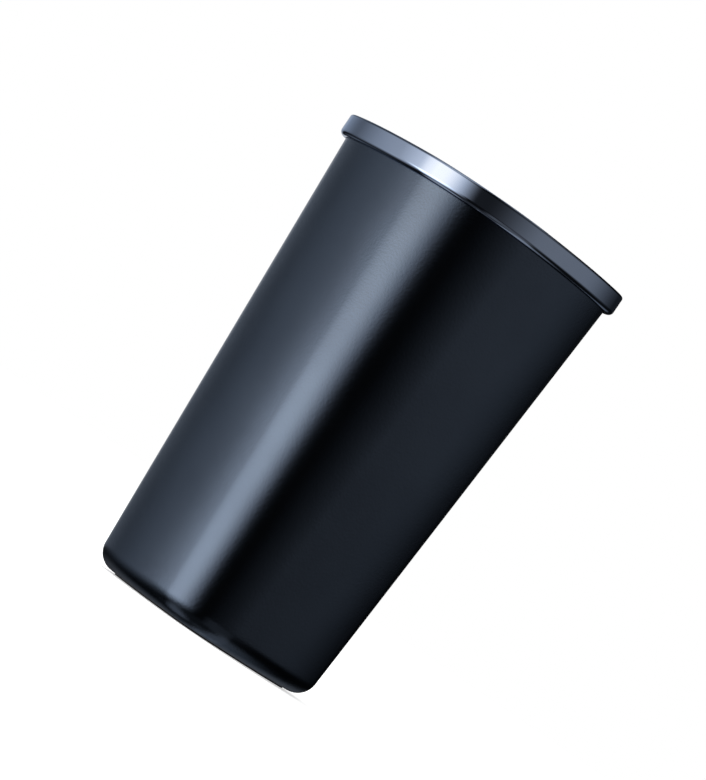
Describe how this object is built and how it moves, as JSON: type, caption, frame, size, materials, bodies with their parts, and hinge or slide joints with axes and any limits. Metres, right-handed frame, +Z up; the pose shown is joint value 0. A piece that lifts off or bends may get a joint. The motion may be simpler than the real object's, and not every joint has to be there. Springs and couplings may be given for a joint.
{
  "type": "car trash bin",
  "caption": "Tapered pocket-size bin with a rounded three-cornered plan, a metal rim band, a removable lid with a self-closing flap and an inner bag ring.",
  "frame": {"origin": "middle of the foot pad's underside, midway between the three corner centres", "axes": "+Z up along the bin's axis, -Y towards the plan's front corner, +X along the flap's hinge"},
  "size_m": [0.1086, 0.1046, 0.17],
  "materials": {
    "shell": "satin anodised, blue-black",
    "band": "polished, darkened",
    "lid": "fine grain",
    "flap": "satin",
    "tray": "fine grain",
    "ring": "plain",
    "seal": "matte",
    "pad": "matte, fine ribs",
    "steel": "drawn"
  },
  "bodies": {
    "bin": {"outer_shell": "shell", "base_pad": "pad", "bag_ring": "ring"},
    "lid": {"rim_band": "band", "lid_frame": "lid", "lid_seal": "seal", "hinge_pin": "steel", "spring_left": "steel", "spring_right": "steel"},
    "flap": {"flap_panel": "flap", "flap_back": "tray", "flap_seal": "seal", "flap_screws": "steel"}
  },
  "joints": [
    {"name": "lid_lift", "type": "slide", "parent": "bin", "child": "lid", "axis": [0, 0, 1], "range_m": [0, 0.05]},
    {"name": "flap_hinge", "type": "hinge", "parent": "lid", "child": "flap", "pos_m": [0, 0.0305, 0.164], "axis": [1, 0, 0], "range_deg": [0, 60], "stiffness_Nm_per_rad": 0.03, "springref_deg": -57.3, "deforming": ["spring_left", "spring_right"]}
  ]
}
